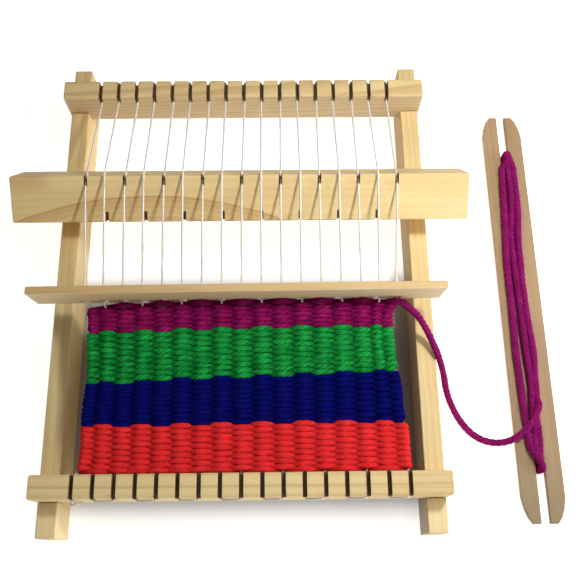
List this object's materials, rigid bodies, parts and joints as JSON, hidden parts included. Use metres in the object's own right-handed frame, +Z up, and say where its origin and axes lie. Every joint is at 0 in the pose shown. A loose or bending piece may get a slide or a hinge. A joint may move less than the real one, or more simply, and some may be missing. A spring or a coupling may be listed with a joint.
{
  "type": "frame loom",
  "caption": "Small wooden frame loom with slotted beams, a square heddle bar that turns to change the shed, a comb, a stick shuttle and a striped weaving begun on its warp.",
  "frame": {"origin": "under the middle of the part's box, on the surface that it lies on", "axes": "+X across the loom to the weaver's right, +Y along the warp away from the weaver, +Z up from the table"},
  "size_m": [0.283, 0.262, 0.0662],
  "materials": {
    "frame_wood": "bare sanded pine, pale and slightly waxy, with fine straight grain",
    "heddle_wood": "bare sanded pine with one broad arched grain figure",
    "comb_wood": "bare sanded pine slat",
    "shuttle_wood": "bare thin plywood-like slat, browner than the frame",
    "screw_steel": "zinc-plated, dull",
    "warp_cotton": "thin twisted cream cotton string",
    "red_yarn": "soft plied yarn, matt and slightly fuzzy",
    "blue_yarn": "soft plied yarn, matt and slightly fuzzy",
    "green_yarn": "soft plied yarn, matt and slightly fuzzy",
    "magenta_yarn": "soft plied yarn, matt and slightly fuzzy"
  },
  "bodies": {
    "frame": {"left_upright": "frame_wood", "right_upright": "frame_wood", "upper_beam": "frame_wood", "lower_beam": "frame_wood", "upper_left_screw": "screw_steel", "upper_right_screw": "screw_steel", "lower_left_screw": "screw_steel", "lower_right_screw": "screw_steel", "warp_string": "warp_cotton", "weft_band_red": "red_yarn", "weft_band_blue": "blue_yarn", "weft_band_green": "green_yarn", "weft_band_magenta": "magenta_yarn", "weft_tail": "magenta_yarn"},
    "heddle": {"heddle_bar": "heddle_wood"},
    "comb": {"beater_comb": "comb_wood"},
    "shuttle": {"stick_shuttle": "shuttle_wood", "shuttle_winding": "magenta_yarn"}
  },
  "joints": [
    {"name": "heddle_turn", "type": "hinge", "parent": "frame", "child": "heddle", "pos_m": [-0.0226, 0.0414, 0.04193], "axis": [1, 0, 0], "range_deg": [-90, 0], "deforming": ["warp_string"]},
    {"name": "comb_beat", "type": "slide", "parent": "frame", "child": "comb", "axis": [0, 0.9857, 0.1686], "range_m": [0, 0.03], "deforming": ["warp_string"]},
    {"name": "shuttle_lift", "type": "slide", "parent": "frame", "child": "shuttle", "axis": [0, 0, 1], "range_m": [0, 0.06], "deforming": ["weft_tail"]}
  ]
}
